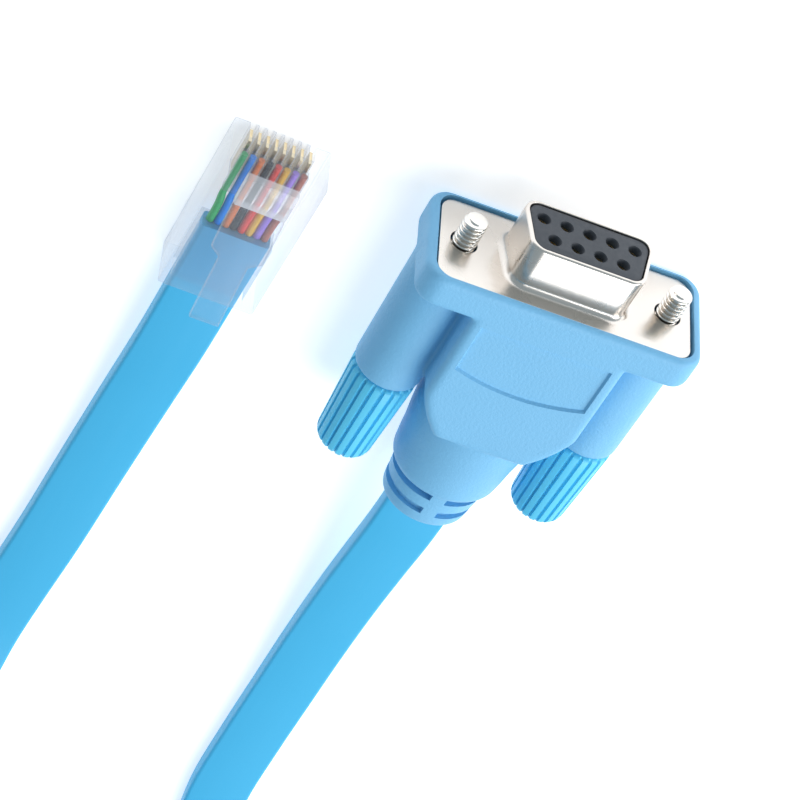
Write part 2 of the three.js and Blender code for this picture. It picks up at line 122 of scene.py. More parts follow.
class Finish:
    """A procedural material on one Principled shader."""

    def __init__(self, name, colour, roughness, **constants):
        self.material = bpy.data.materials.new(name)
        self.material.use_nodes = True
        self.tree = self.material.node_tree
        self.tree.nodes.clear()
        self.output = self.tree.nodes.new("ShaderNodeOutputMaterial")
        self.shader = self.tree.nodes.new("ShaderNodeBsdfPrincipled")
        self.tree.links.new(self.shader.outputs[0], self.output.inputs["Surface"])
        self.set("Base Color", (*colour[:3], 1))
        self.set("Roughness", roughness)
        for socket, value in constants.items():
            self.set(socket.replace("_", " ").title().replace("Ior", "IOR"), value)
        self.place = self.node("ShaderNodeTexCoord", output="Object")

    def node(self, kind, settings=None, inputs=None, output=0):
        node = self.tree.nodes.new(kind)
        for setting, value in (settings or {}).items():
            if setting == "stops":
                ramp = node.color_ramp
                while len(ramp.elements) < len(value):
                    ramp.elements.new(0.5)
                for element, (position, colour) in zip(ramp.elements, value):
                    element.position, element.color = position, (*colour[:3], 1)
            else:
                setattr(node, setting, value)
        for socket, value in (inputs or {}).items():
            self.feed(node.inputs[socket], value)
        return Signal(self, node.outputs[output])

    def feed(self, socket, value):
        if isinstance(value, Signal):
            self.tree.links.new(value.socket, socket)
        else:
            socket.default_value = value

    def set(self, socket, value):
        self.feed(self.shader.inputs[socket], value)

    def noise(self, scale, detail=2.0, roughness=0.5, stretch=(1, 1, 1)):
        place = self.node("ShaderNodeMapping", inputs={"Vector": self.place, "Scale": stretch})
        return self.node("ShaderNodeTexNoise", inputs={
            "Vector": place, "Scale": scale, "Detail": detail, "Roughness": roughness})

    def between(self, share, one, other):
        """A colour between two, by a share from 0 to 1."""
        return self.node("ShaderNodeMix", {"data_type": "RGBA"}, {
            "Factor": share, 6: (*one[:3], 1), 7: (*other[:3], 1)}, output=2)

    def bump(self, height, distance, strength=1.0):
        self.set("Normal", self.node("ShaderNodeBump", inputs={
            "Height": height, "Distance": distance, "Strength": strength}))

    def spread(self, signal, low, high, to_low, to_high):
        """The signal's range from low to high, taken to another range and held inside it."""
        return self.node("ShaderNodeMapRange", {"clamp": True}, {
            "Value": signal, "From Min": low, "From Max": high, "To Min": to_low, "To Max": to_high})


def shade(colour, factor):
    return tuple(min(1.0, part * factor) for part in colour[:3])


def moulded_finish(name, colour, grain, roughness):
    """Soft moulded plastic with a fine sandblasted skin."""
    finish = Finish(name, colour, roughness, specular_ior_level=0.45)
    skin = finish.noise(2600, 3.0, 0.62)
    cloud = finish.noise(160, 2.0)
    finish.set("Base Color", finish.between(cloud, shade(colour, 0.97), shade(colour, 1.03)))
    finish.set("Roughness", finish.spread(skin, 0.3, 0.7, roughness - 0.06, roughness + 0.08))
    finish.bump(skin, grain)
    return finish.material


def jacket_finish(name, colour):
    """Extruded cable jacket: satin, with faint lengthwise drag."""
    finish = Finish(name, colour, 0.42, specular_ior_level=0.45)
    cloud = finish.noise(90, 2.0)
    drag = finish.noise(900, 2.0, 0.5, stretch=(1, 0.04, 1))
    finish.set("Base Color", finish.between(cloud, shade(colour, 0.985), shade(colour, 1.015)))
    finish.set("Roughness", finish.spread(drag, 0.3, 0.7, 0.38, 0.48))
    finish.bump(drag, 0.000012)
    return finish.material


def plated_finish(name, colour, roughness, stretch=(1, 1, 1)):
    """Plated metal with a faint rolled or turned texture."""
    finish = Finish(name, colour, roughness, metallic=1.0)
    cloud = finish.noise(120, 3.0)
    fine = finish.noise(1500, 2.0, 0.5, stretch)
    finish.set("Base Color", finish.between(cloud, shade(colour, 0.96), shade(colour, 1.04)))
    finish.set("Roughness", finish.spread(cloud, 0.3, 0.7, roughness * 0.85, roughness * 1.2))
    finish.bump(fine, 0.000003)
    return finish.material


def insulator_finish(name, colour):
    finish = Finish(name, colour, 0.5, specular_ior_level=0.5)
    skin = finish.noise(1800, 3.0, 0.6)
    cloud = finish.noise(300, 2.0)
    finish.set("Base Color", finish.between(cloud, shade(colour, 0.9), shade(colour, 1.15)))
    finish.set("Roughness", finish.spread(skin, 0.3, 0.7, 0.42, 0.6))
    finish.bump(skin, 0.00002)
    return finish.material


def clear_finish(name, colour, veil, frosted_from=None):
    """Clear plastic: see-through face on, pale and glossy where it grazes, frosted above a height."""
    finish = Finish(name, colour, 0.06, specular_ior_level=0.6, ior=1.58)
    cloud = finish.noise(260, 2.0)
    finish.set("Roughness", finish.spread(cloud, 0.3, 0.7, 0.04, 0.12))
    finish.bump(cloud, 0.00004)
    through = finish.tree.nodes.new("ShaderNodeBsdfTransparent")
    through.inputs["Color"].default_value = (0.935, 0.945, 0.96, 1)
    graze = finish.node("ShaderNodeLayerWeight", inputs={"Blend": 0.35}, output="Facing")
    mix = finish.tree.nodes.new("ShaderNodeMixShader")
    share = graze ** 1.7 * 0.6 + veil
    if frosted_from:
        height = finish.node("ShaderNodeSeparateXYZ", inputs={"Vector": finish.place}, output="Z")
        share = share + finish.spread(height, frosted_from, frosted_from + 0.0002, 0, 0.38)
    finish.feed(mix.inputs[0], share)
    finish.tree.links.new(through.outputs[0], mix.inputs[1])
    finish.tree.links.new(finish.shader.outputs[0], mix.inputs[2])
    finish.tree.links.new(mix.outputs[0], finish.output.inputs["Surface"])
    return finish.material


def wire_finish(name, colour):
    finish = Finish(name, colour, 0.35, specular_ior_level=0.4)
    drag = finish.noise(700, 2.0, 0.5, stretch=(1, 0.1, 1))
    finish.set("Base Color", finish.between(drag, shade(colour, 0.9), shade(colour, 1.08)))
    finish.set("Roughness", finish.spread(drag, 0.3, 0.7, 0.3, 0.42))
    finish.bump(drag, 0.00001)
    return finish.material


def nylon_finish(name, colour):
    finish = Finish(name, colour, 0.42)
    drag = finish.noise(1200, 2.0)
    finish.set("Base Color", finish.between(drag, shade(colour, 0.8), shade(colour, 1.25)))
    finish.set("Roughness", finish.spread(drag, 0.3, 0.7, 0.36, 0.5))
    finish.bump(drag, 0.00002)
    return finish.material


def dress(node, material):
    """Gives a CAD node that stays a better material."""
    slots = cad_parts[node].data.materials
    slots.clear()
    slots.append(material)


# Work on bmeshes

def new_piece(name, bm, place, material, body, smooth_angle=35):
    """The finished object: its place goes into its mesh, and it rides on a CAD body."""
    bmesh.ops.transform(bm, matrix=place, verts=bm.verts)
    bmesh.ops.recalc_face_normals(bm, faces=bm.faces)
    mesh = bpy.data.meshes.new(name)
    bm.to_mesh(mesh)
    bm.free()
    mesh.shade_smooth()
    mesh.set_sharp_from_angle(angle=math.radians(smooth_angle))
    mesh.materials.append(material)
    piece = bpy.data.objects.new(name, mesh)
    bpy.context.scene.collection.objects.link(piece)
    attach(piece, body)
    return piece


def work_object(bm):
    mesh = bpy.data.meshes.new("work")
    bm.to_mesh(mesh)
    bm.free()
    work = bpy.data.objects.new("work", mesh)
    bpy.context.scene.collection.objects.link(work)
    return work


def applied(work, *helpers):
    """A bmesh of what the work object's modifiers give; it and its helpers are then removed."""
    shaped = work.evaluated_get(bpy.context.evaluated_depsgraph_get())
    result = bmesh.new()
    result.from_mesh(shaped.to_mesh())
    shaped.to_mesh_clear()
    for item in (work, *helpers):
        mesh = item.data
        bpy.data.objects.remove(item)
        bpy.data.meshes.remove(mesh)
    return result


def combined(bm, others, operation):
    work = work_object(bm)
    helpers = [work_object(other) for other in others]
    for helper in helpers:
        modifier = work.modifiers.new("Combine", "BOOLEAN")
        modifier.operation = operation
        modifier.solver = "EXACT"
        modifier.object = helper
    return applied(work, *helpers)


def moulded(bm, voxel, rounds):
    """Overlapping shapes grown into one skin, with its edges and corners softened."""
    work = work_object(bm)
    modifier = work.modifiers.new("Skin", "REMESH")
    modifier.mode = "VOXEL"
    modifier.voxel_size = voxel
    skin = applied(work)
    for _ in range(rounds):
        bmesh.ops.smooth_vert(skin, verts=skin.verts, factor=0.5,
                              use_axis_x=True, use_axis_y=True, use_axis_z=True)
    return skin


def gathered(parts):
    """Several bmeshes in one."""
    whole = bmesh.new()
    for part in parts:
        mesh = bpy.data.meshes.new("work")
        part.to_mesh(mesh)
        part.free()
        whole.from_mesh(mesh)
        bpy.data.meshes.remove(mesh)
    return whole


def rectangle(width, height):
    return [(sx * width / 2, sz * height / 2) for sx, sz in ((-1, -1), (-1, 1), (1, 1), (1, -1))]


def d_corners(margin=0.0, width=16.3, height=7.9, slope=math.radians(10)):
    """The D outline's corners, grown by a margin; its wide side is at the bottom."""
    half = height / 2 + margin
    wide = width / 2 + margin / math.cos(slope) + margin * math.tan(slope)
    narrow = wide - 2 * half * math.tan(slope)
    return [(-wide, -half), (-narrow, half), (narrow, half), (wide, -half)]


def rounded_face(bm, corners, radius, back, segments=8):
    """A flat face in X and Z that looks along +Y, its corners rounded."""
    verts = [bm.verts.new((x, back, z)) for x, z in corners]
    bm.faces.new(verts)
    count = len(corners)
    for index, vert in enumerate(verts):
        here = Vector(corners[index])
        before = (Vector(corners[index - 1]) - here).normalized()
        after = (Vector(corners[(index + 1) % count]) - here).normalized()
        bmesh.ops.bevel(bm, geom=[vert], offset=radius / math.tan(before.angle(after) / 2), segments=segments,
                        affect="VERTICES", profile=0.5, material=-1)
    face = bm.faces[:][0]
    face.normal_update()
    if face.normal.y < 0:
        face.normal_flip()
    return face


def stepped(bm, face, steps):
    """Takes a face in by one distance and forward by another, step after step."""
    for inward, forward in steps:
        if inward:
            bmesh.ops.inset_region(bm, faces=[face], thickness=inward, depth=forward, use_even_offset=True)
            continue
        joined = any(len(edge.link_faces) > 1 for edge in face.edges)
        pushed = bmesh.ops.extrude_face_region(bm, geom=[face])["geom"]
        if joined:
            bmesh.ops.delete(bm, geom=[face], context="FACES_ONLY")
        face = next(item for item in pushed if isinstance(item, bmesh.types.BMFace))
        bmesh.ops.translate(bm, verts=face.verts, vec=(0, forward, 0))


def pushed_out(bm, face, way):
    """Closes a lone face into a solid along a way."""
    pushed = bmesh.ops.extrude_face_region(bm, geom=[face])["geom"]
    bmesh.ops.translate(bm, verts=[item for item in pushed if isinstance(item, bmesh.types.BMVert)], vec=way)
    bmesh.ops.recalc_face_normals(bm, faces=bm.faces)


def rims_rounded(bm, axis, edge_round, segments=4):
    """Rounds the rims of a solid's two flat ends, which face along an axis."""
    if edge_round:
        rims = [edge for edge in bm.edges
                if abs(getattr(edge.verts[0].co, axis) - getattr(edge.verts[1].co, axis)) < 1e-5]
        bmesh.ops.bevel(bm, geom=rims, offset=edge_round, segments=segments, affect="EDGES", profile=0.5,
                        material=-1)
    return bm


def slab(corners, radius, back, front, edge_round=0.0, segments=8):
    """An outline in X and Z pushed along Y, the rims of both ends rounded."""
    bm = bmesh.new()
    face = rounded_face(bm, corners, radius, back, segments)
    pushed_out(bm, face, Vector((0, front - back, 0)))
    return rims_rounded(bm, "y", edge_round)


def plan(points, low, high, edge_round=0.0, segments=4):
    """An outline in X and Y pushed up in Z, the rims of both ends rounded."""
    bm = bmesh.new()
    face = bm.faces.new([bm.verts.new((x, y, low)) for x, y in points])
    pushed_out(bm, face, Vector((0, 0, high - low)))
    return rims_rounded(bm, "z", edge_round, segments)


def rod(back_radius, front_radius, back, front, x=0.0, z=0.0, segments=48, edge_round=0.0):
    """A round bar along Y."""
    bm = bmesh.new()
    place = Matrix.Translation((x, (back + front) / 2, z)) @ Matrix.Rotation(math.radians(-90), 4, "X")
    bmesh.ops.create_cone(bm, cap_ends=True, segments=segments, radius1=back_radius, radius2=front_radius,
                          depth=front - back, matrix=place)
    return rims_rounded(bm, "y", edge_round)


def block(width, back, front, low, high, x=0.0, edge_round=0.0, segments=2):
    bm = bmesh.new()
    place = Matrix.Translation((x, (back + front) / 2, (low + high) / 2))
    bmesh.ops.create_cube(bm, size=1, matrix=place @ Matrix.Diagonal((width, front - back, high - low, 1)))
    if edge_round:
        bmesh.ops.bevel(bm, geom=bm.edges[:], offset=edge_round, segments=segments, affect="EDGES",
                        profile=0.5, material=-1)
    return bm


def turned(points, steps=64, squash=1.0):
    """A profile of (radius, y) points, spun about the Y axis."""
    bm = bmesh.new()
    verts = [bm.verts.new((radius, y, 0)) for radius, y in points]
    edges = [bm.edges.new(pair) for pair in zip(verts, verts[1:])]
    bmesh.ops.spin(bm, geom=verts + edges, cent=(0, 0, 0), axis=(0, 1, 0), angle=math.tau, steps=steps,
                   use_merge=True)
    bmesh.ops.remove_doubles(bm, verts=bm.verts, dist=1e-4)
    bmesh.ops.scale(bm, vec=(1, 1, squash), verts=bm.verts)
    bmesh.ops.recalc_face_normals(bm, faces=bm.faces)
    return bm


def along(points, steps):
    """A smooth line through points, with a number of steps from each to the next."""
    points = [Vector(p) for p in points]
    ends = [points[0] * 2 - points[1], *points, points[-1] * 2 - points[-2]]
    line = []
    for a, b, c, d in zip(ends, ends[1:], ends[2:], ends[3:]):
        for step in range(steps):
            t = step / steps
            line.append(0.5 * (2 * b + (c - a) * t + (2 * a - 5 * b + 4 * c - d) * t * t
                               + (3 * b - a - 3 * c + d) * t ** 3))
    return line + [points[-1]]


def smooth_share(value, start, stop):
    share = min(1.0, max(0.0, (value - start) / (stop - start)))
    return share * share * (3 - 2 * share)


def loft(section, places):
    """A closed section of (side, up) points carried along places of (point, side, up), its ends capped."""
    bm = bmesh.new()
    before = None
    for index, (point, side, up) in enumerate(places):
        verts = [bm.verts.new(point + side * u + up * v) for u, v in section]
        ring = [bm.edges.new(pair) for pair in zip(verts, verts[1:] + verts[:1])]
        if index in (0, len(places) - 1):
            bm.faces.new(verts)
        if before:
            bmesh.ops.bridge_loops(bm, edges=before + ring)
        before = ring
    return bm


def bridged(bm, before, verts):
    """Walls the way from the ring before to the ring of these vertices, and gives the new ring."""
    ring = list({edge for vert in verts for edge in vert.link_edges if edge.other_vert(vert) in verts})
    if before:
        bmesh.ops.bridge_loops(bm, edges=before + ring)
    return ring


# Settings

class CordSettings(bpy.types.PropertyGroup):
    """Sizes and colour of the flat cable"""
    width: FloatProperty(name="Width", description="Across the flat of the cable", default=0.0082,
                         subtype="DISTANCE", unit="LENGTH")
    thickness: FloatProperty(name="Thickness", description="Through the flat of the cable", default=0.0025,
                             subtype="DISTANCE", unit="LENGTH")
    colour: FloatVectorProperty(name="Jacket colour", description="Colour of the jacket", subtype="COLOR",
                                size=3, default=(0.055, 0.46, 0.78))


class HoodSettings(bpy.types.PropertyGroup):
    """Sizes and colour of the moulded hood"""
    height: FloatProperty(name="Height", description="Through the broad faces of the hood", default=0.0146,
                          subtype="DISTANCE", unit="LENGTH")
    grain: FloatProperty(name="Grain", description="Depth of the sandblasted skin", default=0.00007,
                         subtype="DISTANCE", unit="LENGTH", precision=6)
    colour: FloatVectorProperty(name="Moulding colour", description="Colour of the hood", subtype="COLOR",
                                size=3, default=(0.20, 0.51, 0.79))


class ScrewSettings(bpy.types.PropertyGroup):
    """Sizes and colour of the thumbscrews"""
    knob_radius: FloatProperty(name="Knob radius", description="Radius over the ribs", default=0.00405,
                               subtype="DISTANCE", unit="LENGTH")
    ribs: IntProperty(name="Ribs", description="Ribs round each knob", default=20, min=8, max=40)
    pitch: FloatProperty(name="Thread pitch", description="From one turn of the thread to the next",
                         default=0.000635, subtype="DISTANCE", unit="LENGTH", precision=6)
    colour: FloatVectorProperty(name="Knob colour", description="Colour of the knobs", subtype="COLOR",
                                size=3, default=(0.12, 0.62, 0.90))


class PlugSettings(bpy.types.PropertyGroup):
    """Sizes of the clear plug"""
    width: FloatProperty(name="Width", description="Across the contacts", default=0.01168,
                         subtype="DISTANCE", unit="LENGTH")
    height: FloatProperty(name="Height", description="Through the body, without its latch", default=0.0066,
                          subtype="DISTANCE", unit="LENGTH")
    veil: FloatProperty(name="Veil", description="How white the clear plastic looks face on", default=0.045,
                        subtype="FACTOR", min=0, max=1)


class StageSettings(bpy.types.PropertyGroup):
    """Floor and lights"""
    floor: FloatVectorProperty(name="Floor colour", description="Colour of the plain floor", subtype="COLOR",
                               size=3, default=(0.85, 0.85, 0.86))
    key: FloatProperty(name="Key light", description="Power of the large soft light", default=4.2,
                       subtype="POWER", unit="POWER")
    air: FloatProperty(name="Air light", description="Strength of the even light from all round",
                       default=0.42)
    glow: FloatProperty(name="Floor glow", description="Light that comes up through the floor", default=0.55)


# Pieces

def cord_line():
    """The whole cable's centre line, in millimetres: out of the hood, round the hank and to the plug."""
    around = []
    run_steps, arc_steps = 4, 12
    per_half = run_steps + arc_steps
    for step in range(HANK_HALF_TURNS * per_half + 1):
        half, within = divmod(step, per_half)
        radius = HANK_RADIUS - HANK_PITCH * step / (2 * per_half)
        side = -1 if half % 2 else 1
        begin = HANK_START if side == 1 else HANK_START - HANK_RUN
        along_run = min(1.0, within / run_steps)
        angle = math.pi * max(0, within - run_steps) / arc_steps
        around.append((HANK_X + side * radius * math.cos(angle),
                       begin - side * (HANK_RUN * along_run + radius * math.sin(angle)), HANK_HEIGHT))
    return along([*CONNECTOR_ROUTE, *around, *PLUG_ROUTE], 5)


class CABLE_OT_cord(bpy.types.Operator):
    """Make the flat cable, from the hood through its hank to the plug"""
    bl_idname = "console_cable.cord"
    bl_label = "Cable"

    def execute(self, context):
        sizes = context.scene.cable_cord
        half, thick = sizes.width * 500, sizes.thickness * 500
        corner = 0.4 * thick
        section = []
        flat, rise = half - corner, thick - corner
        corners = ((flat, rise, 0), (-flat, rise, 90), (-flat, -rise, 180), (flat, -rise, 270))
        for middle_u, middle_v, start in corners:
            for step in range(5):
                angle = math.radians(start + step * 22.5)
                section.append((middle_u + corner * math.cos(angle), middle_v + corner * math.sin(angle)))
        line = cord_line()
        on_edge = len(CONNECTOR_ROUTE) * 5
        off_edge = len(line) - len(PLUG_ROUTE) * 5
        places = []
        for index, point in enumerate(line):
            ahead = (line[min(index + 1, len(line) - 1)] - line[max(index - 1, 0)]).normalized()
            side = ahead.cross(Vector((0, 0, 1))).normalized()
            up = side.cross(ahead)
            turn = 1.0
            if index < on_edge:
                turn = smooth_share(-point.y, 113, 141)
            elif index > off_edge:
                turn = 1 - smooth_share(point.y, -200, -150)
            angle = turn * math.pi / 2
            places.append((point, side * math.cos(angle) + up * math.sin(angle),
                           up * math.cos(angle) - side * math.sin(angle)))
        bm = loft(section, places)
        material = jacket_finish("cable_jacket", sizes.colour)
        piece = new_piece("cable_cord", bm, TO_METRES, material, "cable", 50)
        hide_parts("cable_connector_end", "cable_plug_end", "cable_hank")
        return {"FINISHED"}


def body_points():
    """The hood's body from above: straight flanks, then a curve in to the strain relief."""
    curve = []
    for step in range(9):
        t = step / 8
        curve.append(((1 - t) ** 2 * 9.4 + 2 * t * (1 - t) * 8.4 + t * t * 5.6,
                      (1 - t) ** 2 * -17 + 2 * t * (1 - t) * -20.3 + t * t * -23.3))
    right = [(9.4, -1), *curve]
    return right + [(-x, y) for x, y in reversed(right)]


def label_recess(surface):
    """A cutter for the shallow place of a label: a bowed lower edge, and walls that lean outwards."""
    outline = [(8, 3.9)]
    for step in range(13):
        t = step / 12
        outline.append((8 - 16 * t, -3.3 - 2 * t * (1 - t) * 2.8))
    outline.append((-8, 3.9))
    recess = loft(outline, [(Vector((0, -8.5, surface + height)), Vector((1 + height / 12, 0, 0)),
                             Vector((0, 1 + height / 7, 0))) for height in (-0.35, 0.35)])
    bmesh.ops.recalc_face_normals(recess, faces=recess.faces)
    return recess


def relief_slot(back):
    """A cutter for a groove round the strain relief that stops at a bridge above and below."""
    groove = turned([(4.85, back - 0.575), (8, back - 0.575), (8, back + 0.575), (4.85, back + 0.575),
                     (4.85, back - 0.575)], 64, 0.88)
    return combined(groove, [block(1.8, back - 1, back + 1, -8, 8)], "DIFFERENCE")


class CABLE_OT_hood(bpy.types.Operator):
    """Make the moulded hood with its flange, screw housings and strain relief"""
    bl_idname = "console_cable.hood"
    bl_label = "Hood"

    def execute(self, context):
        sizes = context.scene.cable_hood
        half = sizes.height * 500
        flange = slab(rectangle(33.5, 2 * half), 2.6, -4.1, 0.35, 0.75, 12)
        body = plan(body_points(), -half, half, 1.0)
        relief = turned([(0, -40), (4.6, -40), (5.1, -39.85), (5.4, -39.5), (5.5, -39), (5.75, -36.4),
                         (6.05, -34), (6.35, -33.85), (6.62, -33.5), (6.78, -33), (7.0, -31.2), (7.2, -29),
                         (7.55, -26.5),
                         (7.9, -23.3), (7.9, -17), (0, -17)], 96, 0.88)
        wings = [rod(4.15, 4.3, -21.5, -1.0, side * SCREW_X, 0, 64, 0.35) for side in (-1, 1)]
        whole = flange
        for part in (body, relief, *wings):
            whole = gathered([whole, part])
        skin = moulded(whole, 0.24, 4)
        cutters = [relief_slot(-34.6), relief_slot(-37.4),
                   label_recess(half),
                   slab(rectangle(31.4, 13.1), 2.1, -1.1, 6, 0, 12),
                   block(16.6, -6.7, 2, -3.95, 3.95),
                   slab(rectangle(8.8, 3.1), 0.8, -60, -35.2, 0, 8)]
        cutters += [rod(1.72, 1.72, -30, 5, side * SCREW_X, 0, 32) for side in (-1, 1)]
        skin = combined(skin, cutters, "DIFFERENCE")
        material = moulded_finish("hood_moulding", sizes.colour, sizes.grain, 0.5)
        piece = new_piece("hood", skin, CONNECTOR, material, "cable", 40)
        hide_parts("connector_hood")
        return {"FINISHED"}


class CABLE_OT_shell(bpy.types.Operator):
    """Make the metal face plate with its D-shaped shroud, and the insulator with its contacts"""
    bl_idname = "console_cable.shell"
    bl_label = "Shell and socket"

    def execute(self, context):
        nickel = plated_finish("shell_nickel", (0.77, 0.715, 0.66), 0.26)
        plate = slab(rectangle(30.8, 12.5), 1.8, -0.8, 0, 0.1, 10)
        holes = [rod(1.65, 1.65, -4, 4, side * SCREW_X, 0, 40) for side in (-1, 1)]
        plate = combined(plate, holes, "DIFFERENCE")
        shroud = bmesh.new()
        face = rounded_face(shroud, d_corners(0.8), 2.7, -0.12, 10)
        steps = [(0, 0.12)]
        steps += [(0.8 * (math.sin(b) - math.sin(a)), 0.8 * (math.cos(a) - math.cos(b)))
                  for a, b in ((math.radians(15 * i), math.radians(15 * i + 15)) for i in range(6))]
        steps += [(0, 4.85)]
        steps += [(0.35 * (math.cos(a) - math.cos(b)), 0.35 * (math.sin(b) - math.sin(a)))
                  for a, b in ((math.radians(15 * i), math.radians(15 * i + 15)) for i in range(6))]
        steps += [(0.06, 0), (0.04, -0.05), (0, -5.6)]
        stepped(shroud, face, steps)
        whole = gathered([plate, shroud])
        piece = new_piece("face_plate", whole, CONNECTOR, nickel, "cable", 30)
        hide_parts("connector_shell")

        slate = insulator_finish("socket_slate", (0.055, 0.062, 0.075))
        core = bmesh.new()
        face = rounded_face(core, d_corners(-0.58), 1.32, -5.2, 10)
        stepped(core, face, [(0, 10.95), (0.04, 0.08), (0.1, 0.04)])
        cutters = []
        for count, z in CONTACT_ROWS:
            for index in range(count):
                cutter = turned([(0, -8), (0.66, -8), (0.66, 5.5), (0.88, 5.95), (0.88, 7), (0, 7)], 28)
                x = (index - (count - 1) / 2) * CONTACT_PITCH
                bmesh.ops.translate(cutter, verts=cutter.verts, vec=(x, 0, z))
                cutters.append(cutter)
        core = combined(core, [gathered(cutters)], "DIFFERENCE")
        piece = new_piece("socket_block", core, CONNECTOR, slate, "cable", 30)
        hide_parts("socket_insulator")

        gilt = plated_finish("contact_gold", (0.83, 0.60, 0.24), 0.3)
        for index in range(1, 10):
            dress(f"socket_contact_{index}", gilt)
        return {"FINISHED"}


def rib_depth(share, groove):
    """How far below the knob's full radius its surface lies, over one rib."""
    edge = min(share, 1 - share)
    return groove * (1 - smooth_share(edge, 0.07, 0.2))


class CABLE_OT_screws(bpy.types.Operator):
    """Make the two thumbscrews: ribbed knobs and threaded shanks"""
    bl_idname = "console_cable.screws"
    bl_label = "Thumbscrews"

    def knob(self, sizes):
        per_rib = 10
        count = sizes.ribs * per_rib
        radius = sizes.knob_radius * 1000
        bm = bmesh.new()
        before = None
        stations = [(0, -0.75, 0), (0.12, -0.4, 0.1), (0.3, -0.12, 0.3), (0.6, 0, 0.42), (3, 0, 0.42),
                    (6, 0, 0.42), (9, 0, 0.42), (12.1, 0, 0.42), (12.6, -0.08, 0.4), (12.95, -0.28, 0.3),
                    (13.15, -0.6, 0.1), (KNOB_LENGTH, -1.0, 0)]
        last = len(stations) - 1
        for index, (back, out, groove) in enumerate(stations):
            full = radius * (1 - KNOB_TAPER * back / KNOB_LENGTH) + out
            place = Matrix.Translation((0, KNOB_FRONT - back, 0)) @ Matrix.Rotation(math.radians(90), 4, "X")
            circle = bmesh.ops.create_circle(bm, segments=count, radius=full, cap_ends=index in (0, last),
                                             matrix=place)
            for step, vert in enumerate(circle["verts"]):
                scale = 1 - rib_depth(step % per_rib / per_rib, groove) / full
                vert.co.x, vert.co.z = vert.co.x * scale, vert.co.z * scale
            before = bridged(bm, before, circle["verts"])
        return bm

    def shank(self, sizes):
        """A round bar whose radius follows the thread's helix."""
        pitch = sizes.pitch * 1000
        bm = bmesh.new()
        before = None
        count = 28
        rings = round((SHANK_FRONT - THREAD_BACK) / pitch * 12)
        for index in range(rings + 1):
            y = THREAD_BACK + (SHANK_FRONT - THREAD_BACK) * index / rings
            place = Matrix.Translation((0, y, 0)) @ Matrix.Rotation(math.radians(90), 4, "X")
            circle = bmesh.ops.create_circle(bm, segments=count, radius=1, cap_ends=index in (0, rings),
                                             matrix=place)
            tip = min(1.0, (SHANK_FRONT - y) / 0.45)
            for vert in circle["verts"]:
                turn = math.atan2(vert.co.z, vert.co.x) / math.tau
                phase = (y / pitch + turn) % 1
                crest = smooth_share(1 - abs(2 * phase - 1), 0.12, 0.75)
                radius = (1.0 + 0.42 * crest) * (0.72 + 0.28 * math.sqrt(1 - (1 - tip) ** 2))
                vert.co.x, vert.co.z = vert.co.x * radius, vert.co.z * radius
            before = bridged(bm, before, circle["verts"])
        return gathered([bm, rod(1.1, 1.1, SHANK_BACK, THREAD_BACK + 0.1, 0, 0, count)])

    def execute(self, context):
        sizes = context.scene.cable_screws
        moulding = moulded_finish("knob_moulding", sizes.colour, 0.000012, 0.4)
        steel = plated_finish("screw_steel", (0.84, 0.80, 0.75), 0.16)
        for name, side in (("left", -1), ("right", 1)):
            place = CONNECTOR @ Matrix.Translation((side * SCREW_X, 0, 0))
            body = f"thumbscrew_{name}"
            knob = new_piece(f"knob_{name}", self.knob(sizes), place, moulding, body, 40)
            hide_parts(f"thumbscrew_knob_{name}")
            shank = new_piece(f"shank_{name}", self.shank(sizes), place, steel, body, 50)
            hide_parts(f"thumbscrew_shank_{name}")
        return {"FINISHED"}


WIRES = [
    ("green", (0.04, 0.46, 0.14)), ("blue", (0.015, 0.27, 0.86)), ("orange_brown", (0.92, 0.22, 0.04)),
    ("black", (0.012, 0.014, 0.018)), ("red", (0.95, 0.05, 0.03)), ("yellow_orange", (0.98, 0.50, 0.03)),
    ("purple", (0.42, 0.23, 0.82)), ("brown", (0.50, 0.14, 0.09)),
]


def wire_places():
    """Where the wires lie across the plug, from left to right."""
    return [(index - (len(WIRES) - 1) / 2) * WIRE_PITCH for index in range(len(WIRES))]


